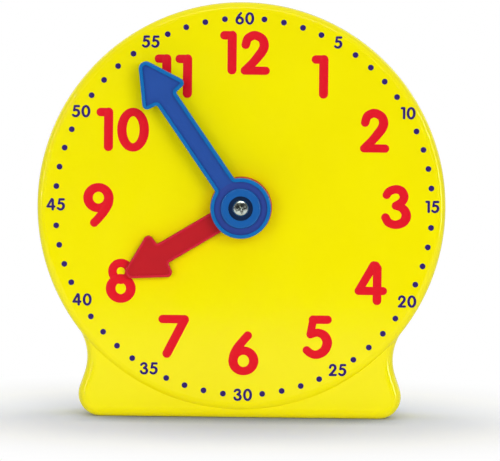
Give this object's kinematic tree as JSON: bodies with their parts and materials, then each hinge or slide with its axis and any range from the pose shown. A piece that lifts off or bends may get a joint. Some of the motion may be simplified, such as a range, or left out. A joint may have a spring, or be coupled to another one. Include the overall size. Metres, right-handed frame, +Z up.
{
  "type": "geared teaching clock",
  "caption": "Small plastic teaching clock with a round dial on a flared foot; two arrow hands are geared together behind the dial.",
  "frame": {"origin": "centre of the bounding box's footprint, on the flat underside of the foot", "axes": "+Z up the dial from 6 to 12, -Y out of the dial towards the reader, +X towards 3"},
  "size_m": [0.1, 0.031, 0.102],
  "materials": {
    "yellow_plastic": "glossy moulded plastic",
    "blue_plastic": "glossy moulded plastic",
    "red_plastic": "glossy moulded plastic",
    "white_plastic": "satin acetal gears",
    "plated_steel": "bright zinc or nickel plated screws",
    "spring_steel": "plain spring steel"
  },
  "bodies": {
    "case": {"front_case": "yellow_plastic", "rear_cover": "yellow_plastic", "intermediate_axle": "spring_steel", "friction_washer": "spring_steel", "case_screw_top": "plated_steel", "case_screw_right": "plated_steel", "case_screw_left": "plated_steel", "case_screw_foot_right": "plated_steel", "case_screw_foot_left": "plated_steel"},
    "minute": {"minute_arbor": "white_plastic", "minute_hand": "blue_plastic", "hand_screw": "plated_steel"},
    "intermediate": {"intermediate_gear": "white_plastic"},
    "hour": {"hour_wheel": "white_plastic", "hour_hand": "red_plastic"}
  },
  "joints": [
    {"name": "minute_turn", "type": "hinge", "parent": "case", "child": "minute", "pos_m": [0, -0.00845, 0.052], "axis": [0, 1, 0], "continuous": true},
    {"name": "intermediate_turn", "type": "hinge", "parent": "case", "child": "intermediate", "pos_m": [0, -0.00845, 0.028], "axis": [0, 1, 0], "continuous": true},
    {"name": "hour_turn", "type": "hinge", "parent": "case", "child": "hour", "pos_m": [0, -0.00845, 0.052], "axis": [0, 1, 0], "continuous": true}
  ],
  "couplings": [
    {"joint": "intermediate_turn", "follows": "minute_turn", "ratio": -0.33333},
    {"joint": "hour_turn", "follows": "minute_turn", "ratio": 0.083333}
  ]
}
